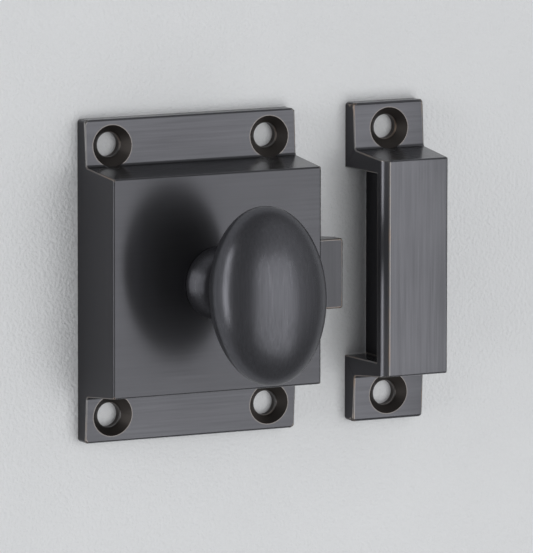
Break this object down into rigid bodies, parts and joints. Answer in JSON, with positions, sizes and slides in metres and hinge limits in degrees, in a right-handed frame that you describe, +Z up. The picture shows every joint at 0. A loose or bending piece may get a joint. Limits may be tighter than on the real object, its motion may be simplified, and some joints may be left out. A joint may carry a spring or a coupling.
{
  "type": "cabinet catch",
  "caption": "Surface-mounted cabinet catch: cast box latch with a sprung bevelled bolt drawn by an oval turn knob, and a separate strike with a pocket for the bolt.",
  "frame": {"origin": "centre of the case's mounting face, on the knob's axis and the centre of its screw pattern", "axes": "+X from the case toward the strike, +Y into the door that the case is screwed to, +Z up"},
  "size_m": [0.0659, 0.0382, 0.056],
  "materials": {
    "bronze_case": "dark bronze plate, satin, brushed along its length",
    "bronze_knob": "dark bronze plate, satin, fine upright brushing",
    "bronze_bolt": "dark bronze plate, satin",
    "bronze_strike": "dark bronze plate, satin, brushed upright on its box",
    "steel_plate": "plain stamped steel, zinc plated",
    "steel_screw": "turned steel, zinc plated",
    "spring_steel": "drawn spring wire"
  },
  "bodies": {
    "fixed": {"case": "bronze_case", "back_cover": "steel_plate", "cover_screws": "steel_screw", "bolt_spring": "spring_steel", "strike": "bronze_strike"},
    "turning": {"knob": "bronze_knob", "spindle": "steel_screw", "follower": "steel_plate", "retaining_washer": "steel_plate", "retaining_screw": "steel_screw"},
    "bolt": {"latch_bolt": "bronze_bolt"}
  },
  "joints": [
    {"name": "knob_turn", "type": "hinge", "parent": "fixed", "child": "turning", "pos_m": [0, 0, 0], "axis": [0, 1, 0], "range_deg": [0, 42.5]},
    {"name": "bolt_slide", "type": "slide", "parent": "fixed", "child": "bolt", "axis": [-1, 0, 0], "range_m": [0, 0.006], "stiffness_N_per_m": 500, "springref_m": -0.0024, "deforming": ["bolt_spring"]}
  ],
  "couplings": [
    {"joint": "knob_turn", "follows": "bolt_slide", "rad_per_m": 121.59}
  ]
}
